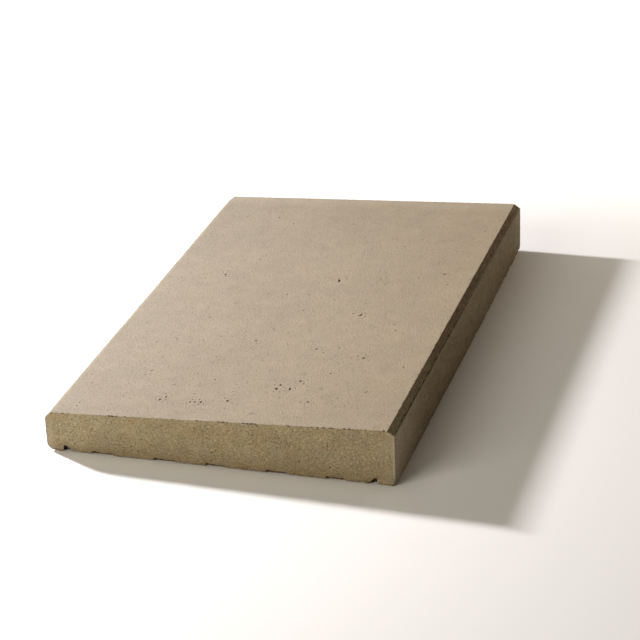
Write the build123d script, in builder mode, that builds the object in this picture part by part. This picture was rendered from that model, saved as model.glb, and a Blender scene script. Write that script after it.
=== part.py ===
from build123d import *
import os

# Coping stone for a free-standing wall: one pressed concrete slab whose top falls to one side.
# Frame: origin at the middle of the bed, +Z up, +X across the wall from the low edge to the high edge,
# +Y along the wall. All sizes are in millimetres.

# Overall sizes
stone_length = 500.0  # along the wall, from end joint to end joint
stone_width = 300.0  # across the wall
high_edge = 50.0  # thickness at the +X side, where the top would meet it without a chamfer
low_edge = 35.0  # thickness at the -X side, measured the same way

# Chamfer along both long top edges
chamfer_run = 6.0  # across the top
chamfer_drop = 4.5  # down the side

# Drip groove under each overhang: an upright wall outside, a sloping one inside
lip_width = 15.5  # from the side of the stone to the groove's upright wall
lip_radius = 2.5  # outer lower corner of the lip
lip_inner_radius = 1.5  # corner between the lip and the groove's upright wall
groove_width = 8.0
groove_depth = 5.0
groove_crown = 2.0  # flat at the top of the groove

# Rounded corners and foot of the two ends
corner_radius = 2.0

half_width = stone_width / 2
top_fall = (high_edge - low_edge) / stone_width
groove_wall = half_width - lip_width
groove_foot = groove_wall - groove_width


def top_height(across):
    """Height of the sloping top at a distance across the wall from the middle of the bed."""
    return low_edge + (across + half_width) * top_fall


with BuildPart() as coping_stone:
    # Slab with a flat bed, upright sides, rounded lower corners and a chamfered, falling top
    chamfer_start = half_width - chamfer_run
    with BuildSketch(Plane.XZ) as profile:
        with BuildLine():
            Polyline(
                (-half_width, 0),
                (half_width, 0),
                (half_width, high_edge - chamfer_drop),
                (chamfer_start, top_height(chamfer_start)),
                (-chamfer_start, top_height(-chamfer_start)),
                (-half_width, low_edge - chamfer_drop),
                close=True,
            )
        make_face()
        fillet(profile.vertices().group_by(Axis.Y)[0], lip_radius)
    extrude(amount=stone_length / 2, both=True)

    # Upright corners: the rounding runs on round the lower corners and along the foot of each end
    uprights = coping_stone.edges().filter_by(Axis.Z)
    fillet(uprights, corner_radius)

    # Drip grooves, cut from end to end
    with BuildSketch(Plane.XZ) as groove:
        with BuildLine():
            Polyline(
                (groove_foot, 0),
                (groove_wall - groove_crown, groove_depth),
                (groove_wall, groove_depth),
                (groove_wall, 0),
                close=True,
            )
        make_face()
        mirror(about=Plane.YZ)
    extrude(amount=stone_length / 2, both=True, mode=Mode.SUBTRACT)

    # Inner corner of each lip, beside the groove
    bed_edges = coping_stone.edges().filter_by(Axis.Y).group_by(Axis.Z)[0]
    lip_corners = [edge for edge in bed_edges if abs(abs(edge.center().X) - groove_wall) < groove_crown / 2]
    fillet(lip_corners, lip_inner_radius)

coping_stone.part.label = "coping_stone"

os.makedirs("parts", exist_ok=True)
export_step(coping_stone.part, "parts/coping_stone.step")
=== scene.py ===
"""Looks of the coping stone: worn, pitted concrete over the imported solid, on a pale studio floor.

Frame of the CAD: origin at the middle of the bed, +Z up, +X towards the high edge, +Y along the wall.
The front is at -Y, and left and right are as seen from there. Lengths are in metres.
"""

import math

import bpy
import numpy as np
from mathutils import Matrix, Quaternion, Vector, noise
from mathutils.geometry import delaunay_2d_cdt


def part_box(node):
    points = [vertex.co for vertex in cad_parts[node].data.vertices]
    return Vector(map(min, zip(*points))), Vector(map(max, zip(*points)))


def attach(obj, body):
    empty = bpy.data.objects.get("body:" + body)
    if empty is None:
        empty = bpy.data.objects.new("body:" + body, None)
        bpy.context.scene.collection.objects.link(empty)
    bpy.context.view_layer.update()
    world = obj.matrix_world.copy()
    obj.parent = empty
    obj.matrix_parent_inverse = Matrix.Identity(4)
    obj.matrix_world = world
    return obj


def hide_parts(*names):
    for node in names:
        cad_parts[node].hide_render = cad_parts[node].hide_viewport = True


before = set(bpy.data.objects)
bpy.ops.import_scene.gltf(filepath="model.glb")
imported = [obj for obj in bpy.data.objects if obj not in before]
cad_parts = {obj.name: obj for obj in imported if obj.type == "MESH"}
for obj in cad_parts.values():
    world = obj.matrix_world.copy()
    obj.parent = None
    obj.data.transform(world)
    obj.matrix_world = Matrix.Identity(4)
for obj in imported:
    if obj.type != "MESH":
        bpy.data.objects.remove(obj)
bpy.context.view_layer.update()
stone_low, stone_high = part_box("coping_stone")

MM = 0.001
SEED = 7

# Section sizes of the CAD
HALF_WIDTH = (stone_high.x - stone_low.x) / 2
HALF_LENGTH = (stone_high.y - stone_low.y) / 2
HIGH_EDGE = 50 * MM
LOW_EDGE = 35 * MM
CHAMFER_RUN = 6 * MM
CHAMFER_DROP = 4.5 * MM
LIP_WIDTH = 15.5 * MM
GROOVE_WIDTH = 8 * MM
GROOVE_DEPTH = 5 * MM
GROOVE_CROWN = 2 * MM
GROOVE_WALL = HALF_WIDTH - LIP_WIDTH
GROOVE_FOOT = GROOVE_WALL - GROOVE_WIDTH
CHAMFER_START = HALF_WIDTH - CHAMFER_RUN
SEAM_TOP = HIGH_EDGE - CHAMFER_DROP

# Rounding of the section's worn corners
ARRIS_RADIUS = 0.45 * MM
LOW_ARRIS_RADIUS = 2.5 * MM
LIP_RADIUS = 0.7 * MM
LIP_INNER_RADIUS = 2.6 * MM

# Rounding of the ends along the top, sides, foot and low lip's foot, and at the high chamfer's front
TOP_END_RADIUS = 0.35 * MM
SIDE_END_RADIUS = 0.8 * MM
FOOT_END_RADIUS = 2 * MM
LOW_FOOT_END_RADIUS = 0.8 * MM
CHAMFER_END_RADIUS = 2.4 * MM

# Plan rounding of the high side's lower corners, which dies out upwards
FOOT_FLARE = 5.5 * MM
FLARE_HEIGHT = 9 * MM

# Lips rubbed round: the low one at the front end, the high one raggedly and most towards both ends
LOW_LIP_WEAR = 9 * MM
LOW_WEAR_LENGTH = 60 * MM
HIGH_LIP_WEAR = 3 * MM
HIGH_WEAR_LENGTH = 12 * MM
BACK_LIP_WEAR = 7 * MM
RAGGED_LIP_WEAR = 1.2 * MM
RAGGED_SHARE = 0.8
RAGGED_SWING = 0.6
RAGGED_LEAST = 0.1

# Seam left by the mould along the lower edge of the high chamfer, and the shares of it that are filled
SEAM_RUN = 1.3 * MM
SEAM_DEPTH = 0.7 * MM
SEAM_FOOT = 0.3 * MM
SEAM_RADIUS = 0.2 * MM
SEAM_END = 9 * MM
SEAM_TOUCH = 0.05 * MM
SEAM_FILL = 0.15
SEAM_FILL_SWING = 0.5
BACK_SEAM_FILL = 0.55
BACK_FILL_STRETCH = (-0.3 * HALF_LENGTH, 0.7 * HALF_LENGTH)
MOST_SEAM_FILL = 0.92

# Mesh: its sizes, their growth away from edges and pits, and the cells that points are drawn in
END_STEP = 0.7 * MM
ARRIS_STEP = 1.0 * MM
ARC_STEP = 0.5 * MM
LIP_STEP = 1.8 * MM
GROOVE_STEP = 2.6 * MM
FACE_STEP = 7 * MM
CAP_STEP = 3 * MM
STEP_GROWTH = 0.3
PIT_GROWTH = 1.0
ARC_GROWTH = 0.1
PIT_STEP = 1.2
CELL = 16 * MM
JITTER = 0.5
CLEARANCE = 0.45
FEWEST_ARC_STEPS = 2
LINE_SAMPLES = 4001

# Kind of triangulation, gap in millimetres at which points merge, area of a triangle that only joins points
# in line, and angle over which an edge is sharp
HULL_TRIANGLES = 0
MERGE_GAP = 1e-7
SLIVER = 1e-12
SHARP_ANGLE = math.radians(38)

# Pits seen on the top in the photo: column and row in its pixels, and radius in millimetres
FAR_PITS = (
    (339.3, 280.7, 1.7), (361, 315, 1.4), (255.7, 340.7, 1.0), (225.7, 274.3, 1.1),
    (316.7, 349, 0.9), (358, 355.7, 0.8), (364, 358, 1.25), (445, 274, 1.2),
)
NEAR_PITS = (
    (290, 389, 1.3), (300.7, 381, 1.2), (160, 399.3, 1.1), (166, 396.7, 1.0), (190, 401.7, 0.9),
    (194.5, 401.7, 1.0), (201, 401.7, 1.2), (227.7, 400.7, 1.25), (366.7, 392, 1.0), (308, 402, 1.0),
)

# Two pits close together: place across, place along and radius in millimetres
TWIN_PITS = ((33.5, -176.5, 1.2), (32.0, -184.0, 1.4))
PIT_GAIN = 1.15

# Small pits about each pit seen: how many, how far off at most, and the largest
SATELLITES = 4
SATELLITE_REACH = 6 * MM
LARGEST_SATELLITE = 0.7 * MM

# Pits scattered on the top, on each side and on each end: how many, and the largest
TOP_PITS = (230, 0.85 * MM)
SIDE_PITS = (26, 0.8 * MM)
END_PITS = (46, 0.95 * MM)

# Scatter of the pits: the smallest, the power that makes most small, and how far apart they stay
SMALLEST_PIT = 0.4 * MM
PIT_SIZE_POWER = 1.3
PIT_SPACING = 1.7
PIT_GAP = 0.5 * MM

# Room between pits and edges, on the top and sides and on the ends
STRIP_END_MARGIN = 4 * MM
STRIP_SIDE_MARGIN = 3 * MM
CAP_TOP_MARGIN = 4 * MM
CAP_SIDE_MARGIN = 7 * MM
CAP_FOOT_MARGIN = 9 * MM

# Rings of a pit as shares of its radius and depth, points in a ring, and unevenness in 2 and 3 lobes
PIT_RINGS = ((1.0, 0.0), (0.78, 0.6), (0.42, 0.93))
PIT_SIDES = 12
SMALL_PIT_SIDES = 8
SMALL_PIT = 0.7 * MM
TWO_LOBES = 0.16
THREE_LOBES = 0.12
PIT_CLEARANCE = 1.75

# Least stretch and depth of a pit, its heading, how far each varies, and the share of depth on the ends
PIT_STRETCH = 1.1
PIT_STRETCH_RANGE = 0.5
PIT_DEPTH = 1.3
PIT_DEPTH_RANGE = 0.8
PIT_HEADING = math.radians(102)
PIT_TURN = math.radians(60)
END_PIT_SHARE = 0.2

# Recesses in the foot of both ends, with a notch at the left of each; in millimetres, left edge and width
FOOT_RECESSES = ((-110.0, 19.0), (-56.0, 20.0), (-11.0, 19.0), (41.0, 19.5), (91.5, 17.5))
RECESS_HEIGHT = 1.5 * MM
RECESS_DEPTH = 1.0 * MM
RECESS_FADE = 2.5 * RECESS_DEPTH
RECESS_LEFT_EDGE = 1.2 * MM
RECESS_RIGHT_EDGE = 2 * MM
NOTCH_HEIGHT = 0.9 * MM
NOTCH_EDGE = 0.8 * MM
NOTCH_FADE = (2.0 * MM, 4.5 * MM)
FOOT_ROUGHNESS = 0.8 * MM
FOOT_ZONE = 14 * MM
FOOT_MARGIN = 4 * MM

# Groove behind its mouths: where the squeeze starts, is strongest and ends, and the height lost
MOUTH_START = 0.6 * MM
MOUTH_DEPTH = 2.5 * MM
MOUTH_FADE = 3 * MOUTH_DEPTH
MOUTH_SQUEEZE = 0.6
GROOVE_TOUCH = 0.1 * MM

# Depths at which the painted shade in pits, recesses, grooves, the seam and chips is at its darkest
PIT_SHADE = 0.4 * MM
RECESS_SHADE = 2.0 * MM
GROOVE_SHADE = GROOVE_DEPTH / 4
SEAM_SHADE = 0.95 * MM
CHIP_SHADE = 0.8 * MM

# Chips: how many along an edge, longest half length and greatest depth, and fall at the chamfers' edges
FRONT_CHIPS = (60, 2.4 * MM, 0.9 * MM)
BACK_CHIPS = (60, 1.4 * MM, 0.4 * MM)
ARRIS_CHIPS = (45, 2.2 * MM, 0.6 * MM)
TOP_CHIPS = (45, 1.6 * MM, 0.4 * MM)
ARRIS_CHIP_FALL = 0.3
TOP_CHIP_FALL = 3

# Shortest half length, power that makes most chips short, depth, spread, reach of the search and roughness
SMALLEST_CHIP = 0.7 * MM
CHIP_SIZE_POWER = 2
CHIP_DEPTH = 0.4
CHIP_DEPTH_RANGE = 0.5
CHIP_SPREAD = 1.6
CHIP_MARGIN = 1.5 * MM
CHIP_ROUGHNESS = 0.45

# Fine unevenness of the sides, what ends and bed add to it and the top takes off, and broad unevenness
SIDE_RELIEF = 0.16 * MM
END_RELIEF = 0.10 * MM
BED_RELIEF = 0.35 * MM
TOP_RELIEF = 0.10 * MM
BROAD_RELIEF = 0.25 * MM
TOP_BROAD_LACK = 0.5
RELIEF_LEVEL = 0.3

# Noises of the wear: size of the features, octaves and shift; and the step between octaves
STREAK_NOISE = (3 * MM, 2, 53)
LIP_NOISE = (9 * MM, 3, 61)
FOOT_NOISE = (6 * MM, 3, 11)
SEAM_NOISE = (9 * MM, 3, 41)
CHIP_NOISE = (1.6 * MM, 2, 17)
BROAD_NOISE = (60 * MM, 2, 23)
FINE_NOISE = (5 * MM, 3, 29)
OCTAVE_FALL = 0.8
OCTAVE_STEP = 2.0

# Parts of a normal from which a vertex comes to count as of one kind of face
TOP_FACING = (0.8, 0.98)
LEVEL_FACING = (0.7, 0.98)
SIDE_FACING = (0.85, 0.98)
CORNER_FACING = (0.85, 0.99)
EDGE_FACING = (0.3, 0.95)
CHAMFER_ACROSS = (0.4, 0.55)
CHAMFER_UP = (0.6, 0.75)
OFF_END = 0.5
BENEATH = -0.9

# Painted highlight on the upright corners: its strength, its share on the sides and the low corner, and
# where it fades out
CORNER_PALENESS = 0.75
CORNER_SIDE_SHARE = 0.3
LOW_CORNER_SHARE = 0.25
CORNER_FADE = (0.8 * MM, 3 * MM)

# Paleness of the streaks beside the upright corners, where it fades out, and the streaks' noise
STREAK_PALENESS = 0.35
STREAK_FADE = (5 * MM, 14 * MM)
STREAK_RANGE = (-0.2, 0.5)
STREAK_SQUEEZE = 0.12

# Painted highlight on the lips' ends in a band above their foot, and where it starts and ends
RIM_PALENESS = 0.45
RIM_RISE = (2 * MM, 3 * MM)
RIM_FADE = (3.2 * MM, 4.5 * MM)
RIM_RUN_IN = 3 * MM

# Paleness of the sides near the ends as painted bounce light, of the low chamfer as a painted highlight, and
# of the top's back edge; and its reach
SIDE_PALENESS = 0.5
FRONT_LIT_REACH = 120 * MM
BACK_LIT_REACH = 40 * MM
LOW_CHAMFER_PALENESS = 0.4
BACK_PALENESS = 0.28
BACK_FADE = (8 * MM, 26 * MM)

# Shares of painted shade on the sides and chamfers; the high chamfer's painted shade is lighter towards its
# ends
SIDE_SHADE = 0.26
LOW_CHAMFER_SHADE = 0.44
FRONT_CHAMFER_SHADE = 0.25
FAR_CHAMFER_SHADE = 0.44
CHAMFER_SHADE_LENGTH = 230 * MM
BACK_SHADE_SHARE = 0.75

# Colours of the concrete: ends, sides and bed, with browner patches; top at its low and high edge; pale
# edges, mostly painted highlights; staining along the foot, its rim partly painted contact shadow; browner
# chamfers in painted shade; painted shade in pits, chips and recesses
END_COLOUR = (0.323, 0.268, 0.163, 1)
PATCH_COLOUR = (0.313, 0.238, 0.132, 1)
LOW_TOP_COLOUR = (0.281, 0.244, 0.192, 1)
HIGH_TOP_COLOUR = (0.337, 0.278, 0.197, 1)
PALE_AND_LIT_COLOUR = (0.42, 0.37, 0.28, 1)
STAIN_AND_SHADE_COLOUR = (0.22, 0.155, 0.09, 1)
BROWN_SHADE_COLOUR = (0.25, 0.155, 0.085, 1)
HOLLOW_SHADE_COLOUR = (0.034, 0.023, 0.012, 1)

# Brown along the foot: heights over which its staining patches and its rim fade out, and the rim's share;
# the rim is partly staining and partly painted contact shadow
STAIN_FADE = (2 * MM, 13 * MM)
FOOT_RIM_FADE = (0.8 * MM, 3.2 * MM)
FOOT_RIM_SHARE = 0.85

# Share of the high edge's colour at the top's low and high edge, which warms the top towards its high edge
# and pales it there as painted light; browning and drawn-out streaks where painted shade darkens the faces
TOP_GRADIENT = (-0.15, 0.85)
BROWN_SHADE_RANGE = (0.28, 0.44)
BROWN_SHADE_SHARE = 0.5
STREAK_STRETCH = (1, 0.15, 1)
STREAK_GAIN = 2.0

# Noises of the colours and the surface: scale, detail and the range they are stretched to
PATCH_NOISE = (90, 4, 0, 1)
STAIN_NOISE = (45, 3, 0, 0.8)
TOP_PATCH_NOISE = (26, 4, 0, 0.3)
SHADE_STREAK_NOISE = (650, 2, 0.65, 1.35)
COARSE_TONES = ((560, 2, 0.72, 1.28), (110, 3, 0.92, 1.08))
TONES = ((14, 2, 0.97, 1.03), (70, 4, 0.95, 1.05), (800, 2, 0.93, 1.07))
ROUGHNESS_NOISE = (200, 3, 0.82, 0.97)
RELIEF_NOISE = (620, 4, 0, 1)
NOISE_ROUGHNESS = 0.6
NOISE_RANGE = (0.3, 0.7)

# Specks off the top, and specks all over: scale, noise at which they start and are full, and tone
COARSE_SPECKS = ((300, 0.63, 0.72, 0.80), (430, 0.37, 0.29, 1.25))
SPECKS = ((650, 0.64, 0.72, 0.70), (380, 0.66, 0.76, 0.70), (540, 0.36, 0.28, 1.15))
SPECK_DETAIL = 1

# Surface of the concrete: its gloss, and the depth and strength of its finest relief
CONCRETE_GLOSS = 0.2
BUMP_DEPTH = 0.35 * MM
BODY_BUMP = 0.9
TOP_BUMP = 0.6

# Studio floor
FLOOR_REACH = 12.0
FLOOR_COLOUR = (0.9, 0.9, 0.9)
FLOOR_ROUGHNESS = 0.8
FLOOR_GLOSS = 0.1

# Camera, from the photo's viewing angle: angles in degrees, and the sensor's width in millimetres
CAMERA_AZIMUTH = 16.645
CAMERA_ELEVATION = 24.297
CAMERA_ROLL = -1.888
CAMERA_PLACE = Vector((0.578, -1.8777, 0.9085))
FOCAL_PIXELS = 2379.85
FRAME_PIXELS = 640
SENSOR = 36.0

# Lights as name, place, aim, size, power, colour and spread in degrees: a narrow key at the left, soft ones
# at the front left and overhead, a weak one at the back right, and a wash on the floor behind the stone
SOFTBOXES = (
    ("key_softbox", (-1.055, 0.232, 0.557), (0.45, -1.6, 0), (0.10, 0.13), 43.4, (1, 0.967, 0.98), 180),
    ("fill_softbox", (-1.2, -2.1, 1.1), (0, 0, 0.02), (1.4, 1.4), 36.2, (1, 0.938, 0.80), 180),
    ("overhead_softbox", (-0.6, 0, 2.4), (0, 0, 0), (1.6, 1.6), 8.8, (1, 0.879, 0.743), 180),
    ("back_softbox", (0.7, 0.9, 0.4), (0.2, 0.1, 0), (1.0, 0.5), 3.4, (1, 0.84, 0.663), 180),
    ("floor_wash", (0.2, 1.2, 1.0), (0.2, 1.2, 0), (3.2, 1.2), 24.0, (1, 1, 0.98), 50),
)

# Weak, warm light from all round
ROOM_COLOUR = (1.0, 0.848, 0.62)
ROOM_STRENGTH = 0.008


def top_height(across):
    """Height of the sloping top at a distance across the wall from the middle of the bed."""
    return LOW_EDGE + (across + HALF_WIDTH) * (HIGH_EDGE - LOW_EDGE) / (2 * HALF_WIDTH)


def smooth_step(low, high, value):
    """0 below low, 1 above high, and smooth between them."""
    share = np.clip((value - low) / (high - low), 0, 1)
    return share * share * (3 - 2 * share)


def fade_out(low, high, value):
    """1 below low, 0 above high, and smooth between them."""
    return 1 - smooth_step(low, high, value)


def fractal(points, size, octaves, shift):
    """Smooth noise of about -1 to 1 at each point, with features of that size."""
    offset = Vector((shift, 2 * shift, -shift))
    values = []
    for point in points:
        values.append(noise.fractal(Vector(point) / size + offset, OCTAVE_FALL, OCTAVE_STEP, octaves))
    return np.array(values)


def section_corners():
    """Corners of the section, anticlockwise from the bed: name, place, rounding and mesh size."""
    foot = [
        ("groove foot", GROOVE_FOOT, 0, ARRIS_RADIUS, GROOVE_STEP),
        ("groove crown", GROOVE_WALL - GROOVE_CROWN, GROOVE_DEPTH, ARRIS_RADIUS, GROOVE_STEP),
        ("groove wall", GROOVE_WALL, GROOVE_DEPTH, ARRIS_RADIUS, GROOVE_STEP),
        ("lip inside", GROOVE_WALL, 0, LIP_INNER_RADIUS, GROOVE_STEP),
        ("lip", HALF_WIDTH, 0, LIP_RADIUS, LIP_STEP),
    ]
    right_foot = [("right " + name, *sizes) for name, *sizes in foot]
    left_foot = [("left " + name, -x, *sizes) for name, x, *sizes in reversed(foot)]
    seam_edge = SEAM_TOP + SEAM_RUN * (top_height(CHAMFER_START) - SEAM_TOP) / CHAMFER_RUN
    top = [
        ("seam foot", HALF_WIDTH, SEAM_TOP - SEAM_FOOT, SEAM_RADIUS, ARRIS_STEP),
        ("seam", HALF_WIDTH - SEAM_RUN - SEAM_FOOT, seam_edge - SEAM_DEPTH, SEAM_RADIUS, ARRIS_STEP),
        ("right arris", HALF_WIDTH - SEAM_RUN, seam_edge, SEAM_RADIUS, ARRIS_STEP),
        ("right top", CHAMFER_START, top_height(CHAMFER_START), ARRIS_RADIUS, ARRIS_STEP),
        ("left top", -CHAMFER_START, top_height(-CHAMFER_START), ARRIS_RADIUS, ARRIS_STEP),
        ("left arris", -HALF_WIDTH, LOW_EDGE - CHAMFER_DROP, LOW_ARRIS_RADIUS, ARRIS_STEP),
    ]
    return right_foot + top + left_foot


def round_corner(before, corner, after, radius):
    """Points and outward normals of the arc that rounds one corner of an anticlockwise outline."""
    to_before = (before - corner) / np.linalg.norm(before - corner)
    to_after = (after - corner) / np.linalg.norm(after - corner)
    half_angle = math.acos(to_before @ to_after) / 2
    middle = to_before + to_after
    centre = corner + middle / np.linalg.norm(middle) * radius / math.sin(half_angle)
    convex = to_after[0] * to_before[1] - to_after[1] * to_before[0] > 0
    side = 1 if convex else -1
    first = corner + to_before * radius / math.tan(half_angle) - centre
    turn = side * (math.pi - 2 * half_angle)
    count = max(FEWEST_ARC_STEPS, math.ceil(abs(turn) * radius / (ARC_STEP + ARC_GROWTH * radius)))
    points, normals = [], []
    for k in range(count + 1):
        angle = turn * k / count
        cosine, sine = math.cos(angle), math.sin(angle)
        spoke = np.array((cosine * first[0] - sine * first[1], sine * first[0] + cosine * first[1]))
        points.append(centre + spoke)
        normals.append(side * spoke / radius)
    return points, normals


class Outline:
    """The section as one closed line, measured along it anticlockwise from the middle of the bed."""

    def __init__(self, corners):
        places = [np.array((x, z)) for _, x, z, _, _ in corners]
        points, normals, rows = [np.zeros(2)], [np.array((0.0, -1.0))], []
        for k, (name, _, _, radius, step) in enumerate(corners):
            arc, arc_normals = round_corner(places[k - 1], places[k], places[(k + 1) % len(places)], radius)
            rows.append((name, len(points), len(points) + len(arc), step))
            points += arc
            normals += arc_normals
        self.points = np.array(points + points[:1])
        self.normals = np.array(normals + normals[:1])
        lengths = np.linalg.norm(np.diff(self.points, axis=0), axis=1)
        self.run = np.concatenate(([0], np.cumsum(lengths)))
        self.length = self.run[-1]
        self.arcs = {name: (self.run[first:last], step) for name, first, last, step in rows}

    def between(self, first, second):
        """The stretch from the end of one rounded corner to the start of another."""
        return self.arcs[first][0][-1], self.arcs[second][0][0]

    def marks(self, widest):
        """Distances of the outline's points along it, and of points between those that are too far apart."""
        runs = []
        for start, stop in zip(self.run[:-1], self.run[1:]):
            runs.append(np.linspace(start, stop, math.ceil((stop - start) / widest) + 1)[:-1])
        return np.concatenate(runs + [self.run[-1:]])

    def place(self, along):
        """Section points at distances along the outline."""
        return np.column_stack([np.interp(along, self.run, self.points[:, k]) for k in (0, 1)])

    def normal(self, along):
        """Outward normals, in space, at distances along the outline."""
        x, z = (np.interp(along, self.run, self.normals[:, k]) for k in (0, 1))
        found = np.column_stack((x, np.zeros(len(x)), z))
        return found / np.linalg.norm(found, axis=1, keepdims=True)

    def nearest(self, points):
        """Distances of section points to the outline, and where along it each is nearest."""
        sides = np.diff(self.points, axis=0)
        lengths = np.diff(self.run)
        offset = points[:, None] - self.points[:-1]
        share = np.clip((offset * sides).sum(2) / lengths ** 2, 0, 1)
        gap = np.linalg.norm(offset - share[..., None] * sides, axis=2)
        best = gap.argmin(1)
        picked = np.arange(len(best))
        return gap[picked, best], self.run[best] + share[picked, best] * lengths[best]

    def holds(self, points):
        """Which section points lie inside the outline."""
        x, z = self.points[:-1].T
        next_x, next_z = self.points[1:].T
        level = np.where(next_z == z, 1.0, next_z - z)
        across, height = points[:, :1], points[:, 1:]
        crossed = (z > height) != (next_z > height)
        crossed &= across < x + (height - z) * (next_x - x) / level
        return crossed.sum(1) % 2 == 1


def graded_line(low, high, size_at):
    """Places from low to high whose spacing follows the mesh size wanted there."""
    fine = np.linspace(low, high, LINE_SAMPLES)
    density = 1 / size_at(fine)
    count = np.concatenate(([0], np.cumsum((density[1:] + density[:-1]) / 2 * np.diff(fine))))
    steps = max(1, round(count[-1]))
    return np.interp(np.linspace(0, count[-1], steps + 1), count, fine)


def graded_points(low, high, size_at, rng):
    """Jittered middles of cells that are split until each is as narrow as the mesh size wanted there."""
    low, high = np.array(low), np.array(high)
    counts = np.maximum(1, np.round((high - low) / CELL)).astype(int)
    cell = (high - low) / counts
    grid = np.stack(np.meshgrid(np.arange(counts[0]), np.arange(counts[1]), indexing="ij"), -1)
    middles = low + (grid.reshape(-1, 2) + 0.5) * cell
    quarters = np.array(((-0.5, -0.5), (0.5, -0.5), (-0.5, 0.5), (0.5, 0.5)))
    found = []
    while len(middles):
        wide = cell.max() > size_at(middles)
        kept = middles[~wide]
        found.append(kept + (rng.random(kept.shape) - 0.5) * JITTER * cell)
        cell = cell / 2
        middles = (middles[wide][:, None] + quarters * cell).reshape(-1, 2)
    return np.concatenate(found)


def scatter_pits(low, high, count, largest, allowed, pits, rng):
    """Adds small pits to a list of (u, v, radius), mostly tiny, clear of one another."""
    wanted = len(pits) + count
    while len(pits) < wanted:
        place = low + rng.random(2) * (np.array(high) - low)
        radius = SMALLEST_PIT * (largest / SMALLEST_PIT) ** (rng.random() ** PIT_SIZE_POWER)
        clear = all(math.dist(place, pit[:2]) > PIT_SPACING * (radius + pit[2]) + PIT_GAP for pit in pits)
        if clear and allowed(place, radius):
            pits.append((place[0], place[1], radius))


def pit_points(pits, depth_share, rng):
    """Mesh points of pits, as rings from rim to bottom, with the depth of each."""
    points, depths = [], []
    for u, v, radius in pits:
        count = SMALL_PIT_SIDES if radius < SMALL_PIT else PIT_SIDES
        stretch = PIT_STRETCH + PIT_STRETCH_RANGE * rng.random()
        heading = PIT_HEADING + PIT_TURN * (rng.random() - 0.5)
        wobble = 2 * math.pi * rng.random(2)
        depth = depth_share * radius * (PIT_DEPTH + PIT_DEPTH_RANGE * rng.random())
        for share, down in PIT_RINGS:
            for k in range(count):
                angle = 2 * math.pi * k / count
                uneven = 1 + TWO_LOBES * math.sin(2 * angle + wobble[0])
                uneven += THREE_LOBES * math.sin(3 * angle + wobble[1])
                reach = radius * share * uneven
                long, short = reach * stretch * math.cos(angle), reach / stretch * math.sin(angle)
                points.append((
                    u + long * math.cos(heading) - short * math.sin(heading),
                    v + long * math.sin(heading) + short * math.cos(heading),
                ))
                depths.append(down * depth)
        points.append((u, v))
        depths.append(depth)
    return np.array(points), np.array(depths)


def clear_of_pits(points, pits):
    """Which points stand clear of every pit's rim."""
    clear = np.ones(len(points), bool)
    for u, v, radius in pits:
        clear &= np.hypot(points[:, 0] - u, points[:, 1] - v) > PIT_CLEARANCE * radius
    return clear


def pit_size(points, pits):
    """Mesh size that lets the mesh close round the pits."""
    size = np.full(len(points), FACE_STEP)
    for u, v, radius in pits:
        gap = np.hypot(points[:, 0] - u, points[:, 1] - v) - radius
        size = np.minimum(size, PIT_STEP * radius + PIT_GROWTH * np.maximum(gap, 0))
    return size


def triangulate(points, loop):
    """Triangles over flat points, out to their hull, that keep a closed loop of them as edges."""
    flat = [Vector(point / MM) for point in points]
    _, _, faces, originals, _, _ = delaunay_2d_cdt(flat, [], [list(loop)], HULL_TRIANGLES, MERGE_GAP, True)
    first = np.array([original[0] for original in originals])
    return first[np.array(faces)]


class Skin:
    """Vertices and triangles of the stone's surface, with what each vertex needs to be worn."""

    def __init__(self):
        self.parts = []
        self.triangles = []
        self.count = 0

    def add(self, points, section_normals, face_normals, edge_gaps, ends, depths):
        """Adds vertices and returns their numbers."""
        self.parts.append((points, section_normals, face_normals, edge_gaps, ends, depths))
        numbers = np.arange(self.count, self.count + len(points))
        self.count += len(points)
        return numbers

    def close(self):
        """Joins what was added into whole arrays."""
        whole = [np.concatenate(part) for part in zip(*self.parts)]
        self.points, self.section_normals, self.face_normals, self.edge_gaps, self.ends, self.depths = whole
        self.triangles = np.concatenate(self.triangles)
        # Painted shade in the pits, by their depth
        self.hollows = smooth_step(0, PIT_SHADE, self.depths)
        self.top = smooth_step(*TOP_FACING, self.face_normals[:, 2])
        self.sides = smooth_step(*SIDE_FACING, np.abs(self.face_normals[:, 0]))
        self.upright = smooth_step(*CORNER_FACING, np.abs(self.section_normals[:, 0]))

    def sink(self, numbers, travel, full):
        """Paints shade into vertices by how far they travelled, up to full painted shade."""
        self.hollows[numbers] = np.maximum(self.hollows[numbers], smooth_step(0, full, travel))


def on_strip(place, radius):
    """Whether a pit of the unrolled strip stays clear of the two ends."""
    return abs(place[1]) < HALF_LENGTH - STRIP_END_MARGIN - radius


def camera_turn():
    """Turn of the camera, from its angles."""
    azimuth = math.radians(CAMERA_AZIMUTH)
    elevation = math.radians(CAMERA_ELEVATION)
    level = math.cos(elevation)
    back = Vector((math.sin(azimuth) * level, -math.cos(azimuth) * level, math.sin(elevation)))
    return (-back).to_track_quat("-Z", "Y") @ Quaternion((0, 0, 1), math.radians(CAMERA_ROLL))


def seen_on_top(column, row, radius):
    """A pit where the photo shows it: across and along the top, to a tenth of a millimetre, and radius."""
    middle = FRAME_PIXELS / 2
    ray = camera_turn() @ Vector((column - middle, middle - row, -FOCAL_PIXELS))
    reach = (top_height(CAMERA_PLACE.x) - CAMERA_PLACE.z) / (ray.z - top_height(ray.x) + top_height(0))
    spot = (CAMERA_PLACE + reach * ray) / MM
    return round(spot.x, 1), round(spot.y, 1), radius


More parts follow.
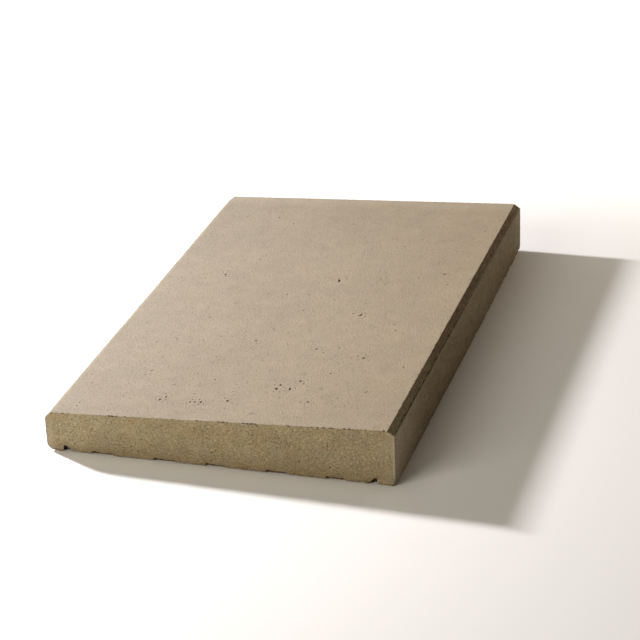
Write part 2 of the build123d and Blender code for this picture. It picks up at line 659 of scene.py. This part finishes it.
def strip_pits(outline, rng):
    """Pits of the top and the two sides, placed on the unrolled strip."""
    top = outline.between("right top", "left top")
    right_side = outline.between("right lip", "seam foot")
    left_side = outline.between("left arris", "left lip")
    seen = [seen_on_top(*pit) for pit in FAR_PITS]
    seen += TWIN_PITS
    seen += [seen_on_top(*pit) for pit in NEAR_PITS]
    pits = []
    for across, along, radius in seen:
        share = (CHAMFER_START - across * MM) / (2 * CHAMFER_START)
        pits.append((top[0] + share * (top[1] - top[0]), along * MM, PIT_GAIN * radius * MM))
    for u, v, _ in list(pits):
        low, high = (u - SATELLITE_REACH, v - SATELLITE_REACH), (u + SATELLITE_REACH, v + SATELLITE_REACH)
        scatter_pits(low, high, SATELLITES, LARGEST_SATELLITE, on_strip, pits, rng)
    faces = ((top, TOP_PITS), (right_side, SIDE_PITS), (left_side, SIDE_PITS))
    for (start, stop), (count, largest) in faces:
        low, high = (start + STRIP_SIDE_MARGIN, -HALF_LENGTH), (stop - STRIP_SIDE_MARGIN, HALF_LENGTH)
        scatter_pits(low, high, count, largest, on_strip, pits, rng)
    return pits


def size_along(step, along):
    """Mesh size wanted at places along the stone: a step, and finer towards both ends."""
    return np.minimum(step, END_STEP + STEP_GROWTH * (HALF_LENGTH - np.abs(along)))


def line_along(step):
    """Places along the stone between its ends, a step apart and closer towards both ends."""
    return graded_line(-HALF_LENGTH, HALF_LENGTH, lambda along: size_along(step, along))[1:-1]


def flat_row(run, along):
    """A row of the unrolled strip: places along the outline and along the stone, one of them fixed."""
    return np.stack(np.broadcast_arrays(run, along), -1)


def outside(arc, run):
    """How far places along the outline lie outside a rounded corner."""
    return np.maximum(arc[0] - run, run - arc[-1])


def strip_inside(outline, pits, rng):
    """Points inside the unrolled strip, clear of the rows of its corners and of its pits."""
    def size_at(points):
        size = size_along(FACE_STEP, points[:, 1])
        for arc, step in outline.arcs.values():
            gap = np.maximum(0, outside(arc, points[:, 0]))
            size = np.minimum(size, step + STEP_GROWTH * gap)
        return np.minimum(size, pit_size(points, pits))

    points = graded_points((0, -HALF_LENGTH), (outline.length, HALF_LENGTH), size_at, rng)
    room = CLEARANCE * size_at(points)
    keep = clear_of_pits(points, pits)
    keep &= HALF_LENGTH - np.abs(points[:, 1]) > room
    keep &= np.minimum(points[:, 0], outline.length - points[:, 0]) > room
    for arc, _ in outline.arcs.values():
        keep &= outside(arc, points[:, 0]) > room
    return points[keep]


def corner_rows(outline):
    """Points of the unrolled strip in rows along the rounded corners of the section."""
    rows = []
    for arc, step in outline.arcs.values():
        along = line_along(step)
        rows += [flat_row(run, along) for run in arc]
    return np.concatenate(rows)


def add_strip(skin, outline, end_run, rng):
    """The surface round the section, from end to end; returns the vertex numbers of both end rows."""
    pits = strip_pits(outline, rng)
    inside = strip_inside(outline, pits, rng)
    hollows, depths = pit_points(pits, 1, rng)
    joint = line_along(FACE_STEP)
    front, back = flat_row(end_run, -HALF_LENGTH), flat_row(end_run, HALF_LENGTH)
    joint_start, joint_stop = flat_row(0.0, joint), flat_row(outline.length, joint)
    own = np.concatenate((front[:-1], back[:-1], joint_start, inside, corner_rows(outline), hollows))
    depth = np.concatenate((np.zeros(len(own) - len(hollows)), depths))

    section = outline.place(own[:, 0])
    normals = outline.normal(own[:, 0])
    points = np.column_stack((section[:, 0], own[:, 1], section[:, 1]))
    gaps = HALF_LENGTH - np.abs(own[:, 1])
    numbers = skin.add(points, normals, normals, gaps, np.sign(own[:, 1]), depth)

    ring = len(end_run) - 1
    front_row, back_row = numbers[:ring], numbers[ring:2 * ring]
    joint_row = numbers[2 * ring:2 * ring + len(joint)]
    flat = np.concatenate((own, front[-1:], back[-1:], joint_stop))
    owner = np.concatenate((numbers, front_row[:1], back_row[:1], joint_row))
    front_corner, back_corner, *joint_end = range(len(own), len(flat))
    right_edge = (front_corner, *joint_end, back_corner)
    loop = np.concatenate((front_row, right_edge, back_row[::-1], joint_row[::-1]))
    skin.triangles.append(owner[triangulate(flat, loop)][:, ::-1])
    return front_row, back_row


def on_cap(place, _radius):
    """Whether a pit of an end face stays clear of its edges."""
    below_top = place[1] < top_height(place[0]) - CAP_TOP_MARGIN
    return below_top and abs(place[0]) < HALF_WIDTH - CAP_SIDE_MARGIN and place[1] > CAP_FOOT_MARGIN


def cap_inside(outline, pits, rng):
    """Points of an end face that are clear of its rim and its pits."""
    def size_at(points):
        gap, _ = outline.nearest(points)
        return np.minimum(np.minimum(CAP_STEP, END_STEP + STEP_GROWTH * gap), pit_size(points, pits))

    points = graded_points(outline.points.min(0), outline.points.max(0), size_at, rng)
    points = points[outline.holds(points)]
    gap, _ = outline.nearest(points)
    keep = clear_of_pits(points, pits) & (gap > CLEARANCE * size_at(points))
    return points[keep]


def cap_triangles(outline, flat, rim_count):
    """Triangles of an end face, without slivers and those outside the outline."""
    faces = triangulate(flat, np.arange(rim_count))
    first, second, third = (flat[faces[:, k]] for k in range(3))
    side, other = second - first, third - first
    area = np.abs(side[:, 0] * other[:, 1] - side[:, 1] * other[:, 0])
    return faces[outline.holds((first + second + third) / 3) & (area > SLIVER)]


def add_cap(skin, outline, end_run, row, end, rng):
    """One end face, closed on the end row of the strip."""
    count, largest = END_PITS
    pits = []
    scatter_pits(outline.points.min(0), outline.points.max(0), count, largest, on_cap, pits, rng)
    inside = cap_inside(outline, pits, rng)
    hollows, depths = pit_points(pits, END_PIT_SHARE, rng)
    own = np.concatenate((inside, hollows))
    depth = np.concatenate((np.zeros(len(inside)), depths))
    faces = cap_triangles(outline, np.concatenate((outline.place(end_run[:-1]), own)), len(row))

    gap, along = outline.nearest(own)
    normals = outline.normal(along)
    outward = np.tile((0.0, end, 0.0), (len(own), 1))
    points = np.column_stack((own[:, 0], np.full(len(own), end * HALF_LENGTH), own[:, 1]))
    numbers = skin.add(points, normals, outward, gap, np.full(len(own), float(end)), depth)
    faces = np.concatenate((row, numbers))[faces]
    skin.triangles.append(faces if end < 0 else faces[:, ::-1])


def chamfer_share(normals, side):
    """How far each vertex is of the chamfer on one side, by its normal."""
    across, _, up = normals.T
    return smooth_step(*CHAMFER_ACROSS, side * across) * smooth_step(*CHAMFER_UP, up)


def off_ends(skin):
    """Which vertices don't face along the stone."""
    return np.abs(skin.face_normals[:, 1]) < OFF_END


def shaded_faces(skin):
    """How far each vertex is darkened by painted shade: the chamfers most, the sides less."""
    from_front = HALF_LENGTH + skin.points[:, 1]
    from_back = HALF_LENGTH - skin.points[:, 1]
    far = smooth_step(0, CHAMFER_SHADE_LENGTH, from_front)
    high = FRONT_CHAMFER_SHADE + (FAR_CHAMFER_SHADE - FRONT_CHAMFER_SHADE) * far
    high *= BACK_SHADE_SHARE + (1 - BACK_SHADE_SHARE) * smooth_step(0, BACK_LIT_REACH, from_back)
    high *= chamfer_share(skin.face_normals, 1)
    low = LOW_CHAMFER_SHADE * chamfer_share(skin.face_normals, -1)
    sides = SIDE_SHADE * skin.sides * smooth_step(0, FRONT_LIT_REACH, from_front)
    return high + low + sides


def pale_corners(skin):
    """Painted highlight on the upright corners: the high side's up to its chamfer's end, the low side's a
    little.
    """
    high = np.maximum(skin.upright, chamfer_share(skin.section_normals, 1))
    facing_out = CORNER_SIDE_SHARE + (1 - CORNER_SIDE_SHARE) * np.abs(skin.face_normals[:, 1])
    corner = CORNER_PALENESS * fade_out(*CORNER_FADE, skin.edge_gaps) * facing_out
    return corner * np.where(skin.points[:, 0] > 0, high, LOW_CORNER_SHARE * skin.upright)


def pale_streaks(skin):
    """How pale the upright streaks beside the upright corners are."""
    x, _, z = skin.points.T
    streaks = fractal(np.column_stack((x, x * 0, STREAK_SQUEEZE * z)), *STREAK_NOISE)
    beside = STREAK_PALENESS * fade_out(*STREAK_FADE, skin.edge_gaps) * smooth_step(*STREAK_RANGE, streaks)
    return skin.upright * beside


def pale_rims(skin):
    """Painted highlight on the ends of the lips in a band above their foot."""
    x, _, z = skin.points.T
    band = RIM_PALENESS * smooth_step(*RIM_RISE, z) * fade_out(*RIM_FADE, z)
    lips = smooth_step(GROOVE_WALL, GROOVE_WALL + RIM_RUN_IN, np.abs(x))
    return band * np.abs(skin.face_normals[:, 1]) * lips


def pale_faces(skin):
    """How pale the sides are near both ends with painted bounce light, the low chamfer with a painted
    highlight, and the top along its back edge.
    """
    from_front = HALF_LENGTH + skin.points[:, 1]
    from_back = HALF_LENGTH - skin.points[:, 1]
    lit_near_ends = 1 - smooth_step(0, FRONT_LIT_REACH, from_front) * smooth_step(0, BACK_LIT_REACH, from_back)
    sides = SIDE_PALENESS * skin.sides * lit_near_ends
    low_chamfer = LOW_CHAMFER_PALENESS * chamfer_share(skin.face_normals, -1)
    back = BACK_PALENESS * fade_out(*BACK_FADE, from_back) * skin.top
    return np.maximum.reduce((sides, low_chamfer, back))


def pale_and_lit_edges(skin):
    """How pale each vertex is: painted highlights on corners, lips, sides and the low chamfer, pale streaks
    and the top's back edge.
    """
    return np.maximum.reduce((pale_corners(skin), pale_streaks(skin), pale_rims(skin), pale_faces(skin)))


def soften_ends(skin):
    """Rounds the edges of both ends, least along the top and most at the front of the high chamfer."""
    up = smooth_step(*EDGE_FACING, skin.section_normals[:, 2])
    upright = smooth_step(*EDGE_FACING, np.abs(skin.section_normals[:, 0]))
    front_chamfer = chamfer_share(skin.section_normals, 1) * (skin.ends < 0)
    radius = np.where(skin.points[:, 0] < -GROOVE_WALL, LOW_FOOT_END_RADIUS, FOOT_END_RADIUS)
    radius += (SIDE_END_RADIUS - radius) * upright
    radius += (TOP_END_RADIUS - radius) * up
    radius += (CHAMFER_END_RADIUS - radius) * front_chamfer
    gap = np.minimum(skin.edge_gaps, radius)
    travel = (2 * radius - gap - np.sqrt(2 * radius ** 2 - gap ** 2)) / 2
    skin.points -= travel[:, None] * skin.section_normals
    skin.points[:, 1] -= travel * skin.ends


def round_off(first, second, radius):
    """Distances from two faces, carried onto the rounding between them where they lie outside it."""
    first, second = radius - first, radius - second
    reach = np.hypot(first, second)
    outer = (first > 0) & (second > 0) & (reach > radius)
    pull = np.where(outer, radius / np.where(outer, reach, 1), 1)
    return radius - first * pull, radius - second * pull


def wear_corners(skin):
    """Rounds the upright corners in plan, most at the high side's foot, and rubs the lips round."""
    x, y, z = skin.points.T
    flare = FOOT_FLARE * np.clip(1 - z / FLARE_HEIGHT, 0, 1) ** 2
    radius = SIDE_END_RADIUS + np.where(x > 0, flare, 0)
    from_side, from_end = round_off(HALF_WIDTH - np.abs(x), HALF_LENGTH - np.abs(y), radius)
    x = np.sign(x) * (HALF_WIDTH - from_side)
    y = np.sign(y) * (HALF_LENGTH - from_end)
    low = LOW_LIP_WEAR * fade_out(0, LOW_WEAR_LENGTH, y + HALF_LENGTH)
    high = HIGH_LIP_WEAR * fade_out(0, HIGH_WEAR_LENGTH, y + HALF_LENGTH)
    high += BACK_LIP_WEAR * np.clip(y / HALF_LENGTH, 0, 1) ** 2
    ragged = RAGGED_SHARE + RAGGED_SWING * fractal(np.column_stack((np.sign(x), y, x * 0)), *LIP_NOISE)
    high = (high + RAGGED_LIP_WEAR) * np.maximum(RAGGED_LEAST, ragged)
    from_side, z = round_off(HALF_WIDTH - np.abs(x), z, np.where(x > 0, high, low))
    skin.points = np.column_stack((np.sign(x) * (HALF_WIDTH - from_side), y, z))


def foot_lift(x):
    """Height to which the ragged foot of an end is broken out, at places across the wall."""
    lift = np.zeros(len(x))
    for left, width in FOOT_RECESSES:
        inside = x - left * MM
        rise = smooth_step(0, RECESS_LEFT_EDGE, inside)
        rise *= fade_out(width * MM - RECESS_RIGHT_EDGE, width * MM, inside)
        notch = smooth_step(0, NOTCH_EDGE, inside) * fade_out(*NOTCH_FADE, inside)
        lift = np.maximum(lift, RECESS_HEIGHT * rise + NOTCH_HEIGHT * notch)
    rough = fractal(np.column_stack((x, x * 0, x * 0)), *FOOT_NOISE)
    return lift + np.maximum(0, FOOT_ROUGHNESS * rough)


def lift_foot(skin):
    """Breaks ragged recesses out of the foot of both ends, and paints shade under them."""
    x, y, z = skin.points.T
    inner = fade_out(GROOVE_FOOT - FOOT_MARGIN, GROOVE_FOOT, np.abs(x))
    low = np.clip(1 - z / FOOT_ZONE, 0, 1)
    near_end = fade_out(RECESS_DEPTH, RECESS_FADE, HALF_LENGTH - np.abs(y))
    travel = foot_lift(x) * inner * low * near_end
    skin.points[:, 2] += travel
    under = np.flatnonzero(off_ends(skin) & (skin.section_normals[:, 2] < BENEATH))
    skin.sink(under, travel[under], RECESS_SHADE)


def rough_grooves(skin):
    """Paints shade into the drip grooves, and squeezes each behind its mouths, where the concrete is ragged.
    """
    x, y, z = skin.points.T
    across = (np.abs(x) > GROOVE_FOOT) & (np.abs(x) < GROOVE_WALL + GROOVE_TOUCH)
    groove = np.flatnonzero(across & (z < GROOVE_DEPTH + GROOVE_TOUCH) & off_ends(skin))
    behind = HALF_LENGTH - np.abs(y[groove])
    squeeze = smooth_step(MOUTH_START, MOUTH_DEPTH, behind) * fade_out(MOUTH_DEPTH, MOUTH_FADE, behind)
    skin.sink(groove, z[groove] * smooth_step(0, MOUTH_DEPTH, behind), GROOVE_SHADE)
    skin.points[groove, 2] *= 1 - MOUTH_SQUEEZE * squeeze


def ragged_seam(skin):
    """Fills the chamfer's seam here and there, most towards the back, closes it at the ends, and paints
    shade into the rest.
    """
    x, y, z = skin.points.T
    from_side = HALF_WIDTH - x
    fall = (top_height(CHAMFER_START) - SEAM_TOP) / CHAMFER_RUN
    depth = np.minimum(from_side, SEAM_TOP + from_side * fall - z)
    near = (from_side < SEAM_RUN + 2 * SEAM_FOOT) & (z > SEAM_TOP - 2 * SEAM_FOOT)
    seam = np.flatnonzero(near & (depth > SEAM_TOUCH) & off_ends(skin))
    along = y[seam]
    rough = fractal(np.column_stack((along * 0, along, along * 0)), *SEAM_NOISE)
    filled = SEAM_FILL + SEAM_FILL_SWING * rough + BACK_SEAM_FILL * smooth_step(*BACK_FILL_STRETCH, along)
    closed = fade_out(0, SEAM_END, HALF_LENGTH - np.abs(along))
    filled = np.clip(np.maximum(filled, closed), 0, MOST_SEAM_FILL)
    skin.points[seam, 0] += from_side[seam] * filled
    skin.points[seam, 2] += (SEAM_TOP - z[seam]) * filled
    skin.sink(seam, depth[seam] * (1 - filled), SEAM_SHADE)


def chip_edge(skin, start, stop, inward, chips, rng):
    """Breaks small chips out of a straight edge: vertices inside one move to its far side and get painted
    shade.
    """
    count, longest, deepest = chips
    start, stop = np.array(start), np.array(stop)
    inward = np.array(inward) / np.linalg.norm(inward)
    along = (stop - start) / np.linalg.norm(stop - start)
    across = np.cross(along, inward)
    offset = skin.points - start
    from_edge = np.linalg.norm(offset - (offset @ along)[:, None] * along, axis=1)
    near = np.flatnonzero(from_edge < CHIP_SPREAD * deepest + CHIP_MARGIN)
    rough = 1 + CHIP_ROUGHNESS * fractal(skin.points[near], *CHIP_NOISE)
    for _ in range(count):
        half_length = SMALLEST_CHIP * (longest / SMALLEST_CHIP) ** (rng.random() ** CHIP_SIZE_POWER)
        depth = min(deepest, half_length * (CHIP_DEPTH + CHIP_DEPTH_RANGE * rng.random()))
        offset = skin.points[near] - (start + rng.random() * (stop - start))
        room = 1 - (offset @ along / half_length) ** 2 - (offset @ across / (CHIP_SPREAD * depth)) ** 2
        travel = np.sqrt(np.maximum(room, 0)) * depth * rough - offset @ inward
        travel = np.where(room > 0, np.maximum(travel, 0), 0)
        skin.points[near] += travel[:, None] * inward
        skin.sink(near, travel, CHIP_SHADE)


def chip_edges(skin, rng):
    """Small chips along the end edges of the top and along both edges of each chamfer."""
    left, right = -CHAMFER_START, CHAMFER_START
    for end, chips in ((-HALF_LENGTH, FRONT_CHIPS), (HALF_LENGTH, BACK_CHIPS)):
        start, stop = (left, end, top_height(left)), (right, end, top_height(right))
        chip_edge(skin, start, stop, (0, -end, -HALF_LENGTH), chips, rng)
    for side, thickness in ((1, HIGH_EDGE), (-1, LOW_EDGE)):
        edges = (
            (side * HALF_WIDTH, thickness - CHAMFER_DROP, ARRIS_CHIP_FALL, ARRIS_CHIPS),
            (side * CHAMFER_START, top_height(side * CHAMFER_START), TOP_CHIP_FALL, TOP_CHIPS),
        )
        for x, z, fall, chips in edges:
            chip_edge(skin, (x, -HALF_LENGTH, z), (x, HALF_LENGTH, z), (-side, 0, -fall), chips, rng)


def roughen(skin):
    """Uneven faces: the top is nearly flat, the ends and sides are coarser and the bed coarsest."""
    normal = skin.face_normals
    broad = fractal(skin.points, *BROAD_NOISE)
    fine = fractal(skin.points, *FINE_NOISE)
    top = smooth_step(*LEVEL_FACING, normal[:, 2])
    bed = smooth_step(*LEVEL_FACING, -normal[:, 2])
    amount = SIDE_RELIEF + END_RELIEF * np.abs(normal[:, 1]) + BED_RELIEF * bed - TOP_RELIEF * top
    travel = amount * np.maximum(0, RELIEF_LEVEL + fine)
    travel += BROAD_RELIEF * np.maximum(0, RELIEF_LEVEL + broad) * (1 - TOP_BROAD_LACK * top)
    skin.points -= travel[:, None] * normal


def sink_pits(skin):
    """Presses the pits in, each along the normal of its face."""
    skin.points -= skin.depths[:, None] * skin.face_normals


def sharp_skin(rng):
    """The stone's surface before it is worn."""
    outline = Outline(section_corners())
    end_run = outline.marks(END_STEP)
    skin = Skin()
    front_row, back_row = add_strip(skin, outline, end_run, rng)
    add_cap(skin, outline, end_run, front_row, -1, rng)
    add_cap(skin, outline, end_run, back_row, 1, rng)
    skin.close()
    return skin


def wear(skin, rng):
    """Wears the surface, in the order in which the steps build on one another."""
    ragged_seam(skin)
    rough_grooves(skin)
    soften_ends(skin)
    wear_corners(skin)
    lift_foot(skin)
    chip_edges(skin, rng)
    roughen(skin)
    sink_pits(skin)


def stone_mesh():
    """The worn stone as one closed mesh, with how far each vertex is of the top, pale or lit, in painted
    shade and in painted hollow shade.
    """
    rng = np.random.default_rng(SEED)
    skin = sharp_skin(rng)
    shares = {"bloom": skin.top, "pale_and_lit": pale_and_lit_edges(skin), "painted_shade": shaded_faces(skin)}
    wear(skin, rng)
    shares["hollow_shade"] = skin.hollows

    mesh = bpy.data.meshes.new("worn_stone")
    mesh.from_pydata(skin.points.tolist(), [], skin.triangles.tolist())
    for name, values in shares.items():
        mesh.attributes.new(name, "FLOAT", "POINT").data.foreach_set("value", values.astype(np.float32))
    mesh.shade_smooth()
    mesh.set_sharp_from_angle(angle=SHARP_ANGLE)
    return mesh


def add_node(tree, kind, inputs=None, **settings):
    """A shader node with its settings and the inputs that are given, as values or as sockets to link."""
    made = tree.nodes.new(kind)
    for name, value in settings.items():
        setattr(made, name, value)
    for name, value in (inputs or {}).items():
        if isinstance(value, bpy.types.NodeSocket):
            tree.links.new(value, made.inputs[name])
        else:
            made.inputs[name].default_value = value
    return made


def attribute(tree, name):
    """A number stored on the mesh."""
    return add_node(tree, "ShaderNodeAttribute", attribute_name=name).outputs["Fac"]


def calculate(tree, operation, first, second, clamp=False):
    """Two numbers joined by an operation."""
    inputs = {0: first, 1: second}
    return add_node(tree, "ShaderNodeMath", inputs, operation=operation, use_clamp=clamp).outputs[0]


def product(tree, numbers):
    """Product of several numbers."""
    result = numbers[0]
    for number in numbers[1:]:
        result = calculate(tree, "MULTIPLY", result, number)
    return result


def mix(tree, share, first, second):
    """Two numbers mixed by a share."""
    return add_node(tree, "ShaderNodeMix", {0: share, 2: first, 3: second}).outputs[0]


def blend(tree, share, first, second):
    """Two colours mixed by a share."""
    return add_node(tree, "ShaderNodeMix", {0: share, 6: first, 7: second}, data_type="RGBA").outputs[2]


def between(tree, value, start, stop, low, high):
    """A number carried from one range to another and held at its ends."""
    inputs = {"Value": value, "From Min": start, "From Max": stop, "To Min": low, "To Max": high}
    return add_node(tree, "ShaderNodeMapRange", inputs).outputs["Result"]


def noise_between(tree, place, scale, detail, low, high):
    """A noise texture in object space, stretched to run from low to high."""
    inputs = {"Vector": place, "Scale": scale, "Detail": detail, "Roughness": NOISE_ROUGHNESS}
    texture = add_node(tree, "ShaderNodeTexNoise", inputs)
    return between(tree, texture.outputs["Fac"], *NOISE_RANGE, low, high)


def specks(tree, place, scale, start, stop, change):
    """Sparse grains that change the tone where a fine noise is at its highest or lowest."""
    texture = add_node(tree, "ShaderNodeTexNoise", {"Vector": place, "Scale": scale, "Detail": SPECK_DETAIL})
    return between(tree, texture.outputs["Fac"], start, stop, 1, change)


def brown_foot(tree, place):
    """Share of brown along the foot: staining in patches, and a thin rim at the floor, partly painted
    contact shadow.
    """
    height = add_node(tree, "ShaderNodeSeparateXYZ", {0: place}).outputs["Z"]
    low = between(tree, height, *STAIN_FADE, 1, 0)
    patches = calculate(tree, "MULTIPLY", low, noise_between(tree, place, *STAIN_NOISE))
    rim = between(tree, height, *FOOT_RIM_FADE, FOOT_RIM_SHARE, 0)
    return calculate(tree, "MAXIMUM", patches, rim)


def top_colour_and_painted_light(tree, place):
    """Colour of the top: greyer at the low edge, warmer at the high one and paler there as painted light,
    with soft patches of both.
    """
    across = add_node(tree, "ShaderNodeSeparateXYZ", {0: place}).outputs["X"]
    gradient = between(tree, across, -HALF_WIDTH, HALF_WIDTH, *TOP_GRADIENT)
    patches = noise_between(tree, place, *TOP_PATCH_NOISE)
    share = calculate(tree, "ADD", gradient, patches, clamp=True)
    return blend(tree, share, LOW_TOP_COLOUR, HIGH_TOP_COLOUR)


def body_colour(tree, place, bloom, pale_and_lit, painted_shade):
    """Colour of the concrete before its grain."""
    body = blend(tree, noise_between(tree, place, *PATCH_NOISE), END_COLOUR, PATCH_COLOUR)
    # Brown staining along the foot, its rim at the floor partly painted contact shadow
    body = blend(tree, brown_foot(tree, place), body, STAIN_AND_SHADE_COLOUR)
    # The top, paler towards its high edge as painted light
    body = blend(tree, bloom, body, top_colour_and_painted_light(tree, place))
    # Browner where the painted shade on the chamfers is deepest
    body = blend(tree, between(tree, painted_shade, *BROWN_SHADE_RANGE, 0, BROWN_SHADE_SHARE), body, BROWN_SHADE_COLOUR)
    # Paler with painted highlights on corners, lips, sides near the ends and the low chamfer, and with pale
    # streaks
    body = blend(tree, pale_and_lit, body, PALE_AND_LIT_COLOUR)
    # Painted shade in pits, chips, recesses, grooves and the open seam
    return blend(tree, attribute(tree, "hollow_shade"), body, HOLLOW_SHADE_COLOUR)


def grain_tone(tree, place, bloom, pale_and_lit, painted_shade):
    """Tone of the grain: coarse off the top and the pale and lit edges, streaky and darkened by painted
    shade, fine all over.
    """
    coarse = [noise_between(tree, place, *sizes) for sizes in COARSE_TONES]
    coarse += [specks(tree, place, *sizes) for sizes in COARSE_SPECKS]
    smooth = calculate(tree, "MAXIMUM", bloom, pale_and_lit)
    stretched = add_node(tree, "ShaderNodeVectorMath", {0: place, 1: STREAK_STRETCH}, operation="MULTIPLY")
    streaks = noise_between(tree, stretched.outputs["Vector"], *SHADE_STREAK_NOISE)
    streaky = calculate(tree, "MULTIPLY", painted_shade, STREAK_GAIN)
    tones = [mix(tree, smooth, product(tree, coarse), 1.0), mix(tree, streaky, 1.0, streaks)]
    tones += [noise_between(tree, place, *sizes) for sizes in TONES]
    tones += [specks(tree, place, *sizes) for sizes in SPECKS]
    # Darker by the painted shade on the sides and chamfers
    tones.append(between(tree, painted_shade, 0, 1, 1, 0))
    return product(tree, tones)


def concrete():
    """Buff concrete: paler and pinker on the top, ochre and grainier on the ends, sides and bed."""
    material = bpy.data.materials.new("buff_concrete")
    material.use_nodes = True
    tree = material.node_tree
    shader = tree.nodes["Principled BSDF"]
    shader.inputs["Specular IOR Level"].default_value = CONCRETE_GLOSS
    place = add_node(tree, "ShaderNodeTexCoord").outputs["Object"]
    bloom, pale_and_lit, painted_shade = (attribute(tree, name) for name in ("bloom", "pale_and_lit", "painted_shade"))

    body = body_colour(tree, place, bloom, pale_and_lit, painted_shade)
    tone = grain_tone(tree, place, bloom, pale_and_lit, painted_shade)
    colour = add_node(tree, "ShaderNodeVectorMath", {0: body, "Scale": tone}, operation="SCALE")
    tree.links.new(colour.outputs["Vector"], shader.inputs["Base Color"])
    tree.links.new(noise_between(tree, place, *ROUGHNESS_NOISE), shader.inputs["Roughness"])

    relief = noise_between(tree, place, *RELIEF_NOISE)
    strength = between(tree, bloom, 0, 1, BODY_BUMP, TOP_BUMP)
    bump = add_node(tree, "ShaderNodeBump", {"Height": relief, "Distance": BUMP_DEPTH, "Strength": strength})
    tree.links.new(bump.outputs["Normal"], shader.inputs["Normal"])
    return material


def pale_floor():
    """Matt white."""
    material = bpy.data.materials.new("pale_floor")
    material.use_nodes = True
    shader = material.node_tree.nodes["Principled BSDF"]
    shader.inputs["Base Color"].default_value = (*FLOOR_COLOUR, 1)
    shader.inputs["Roughness"].default_value = FLOOR_ROUGHNESS
    shader.inputs["Specular IOR Level"].default_value = FLOOR_GLOSS
    return material


def add_stone():
    """The worn stone in place of the CAD node."""
    stone = bpy.data.objects.new("stone_body", stone_mesh())
    stone.data.materials.append(concrete())
    bpy.context.scene.collection.objects.link(stone)
    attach(stone, "root")
    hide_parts("coping_stone")


def add_floor():
    """A wide pale floor, not part of the object."""
    reach = FLOOR_REACH
    corners = [(-reach, -reach, 0), (reach, -reach, 0), (reach, reach, 0), (-reach, reach, 0)]
    mesh = bpy.data.meshes.new("studio_floor")
    mesh.from_pydata(corners, [], [(0, 1, 2, 3)])
    floor = bpy.data.objects.new("studio_floor", mesh)
    mesh.materials.append(pale_floor())
    bpy.context.scene.collection.objects.link(floor)


def add_softbox(name, place, aim, size, power, colour, spread):
    """A rectangular area light turned towards its aim."""
    place, aim = Vector(place), Vector(aim)
    light = bpy.data.lights.new(name, "AREA")
    light.shape = "RECTANGLE"
    light.size, light.size_y = size
    light.energy = power
    light.color = colour
    light.spread = math.radians(spread)
    lamp = bpy.data.objects.new(name, light)
    lamp.location = place
    lamp.rotation_mode = "QUATERNION"
    lamp.rotation_quaternion = (aim - place).to_track_quat("-Z", "Y")
    bpy.context.scene.collection.objects.link(lamp)


def add_room():
    """Light from all round."""
    world = bpy.data.worlds.new("studio_room")
    world.use_nodes = True
    background = world.node_tree.nodes["Background"]
    background.inputs["Color"].default_value = (*ROOM_COLOUR, 1)
    background.inputs["Strength"].default_value = ROOM_STRENGTH
    bpy.context.scene.world = world


def add_camera():
    """The camera at the photo's viewing angle."""
    data = bpy.data.cameras.new("photo_camera")
    data.sensor_width = SENSOR
    data.lens = FOCAL_PIXELS / FRAME_PIXELS * SENSOR
    camera = bpy.data.objects.new("photo_camera", data)
    camera.location = CAMERA_PLACE
    camera.rotation_mode = "QUATERNION"
    camera.rotation_quaternion = camera_turn()
    bpy.context.scene.collection.objects.link(camera)
    bpy.context.scene.camera = camera


add_stone()
add_floor()
for softbox in SOFTBOXES:
    add_softbox(*softbox)
add_room()
add_camera()
bpy.context.scene.view_settings.view_transform = "Standard"
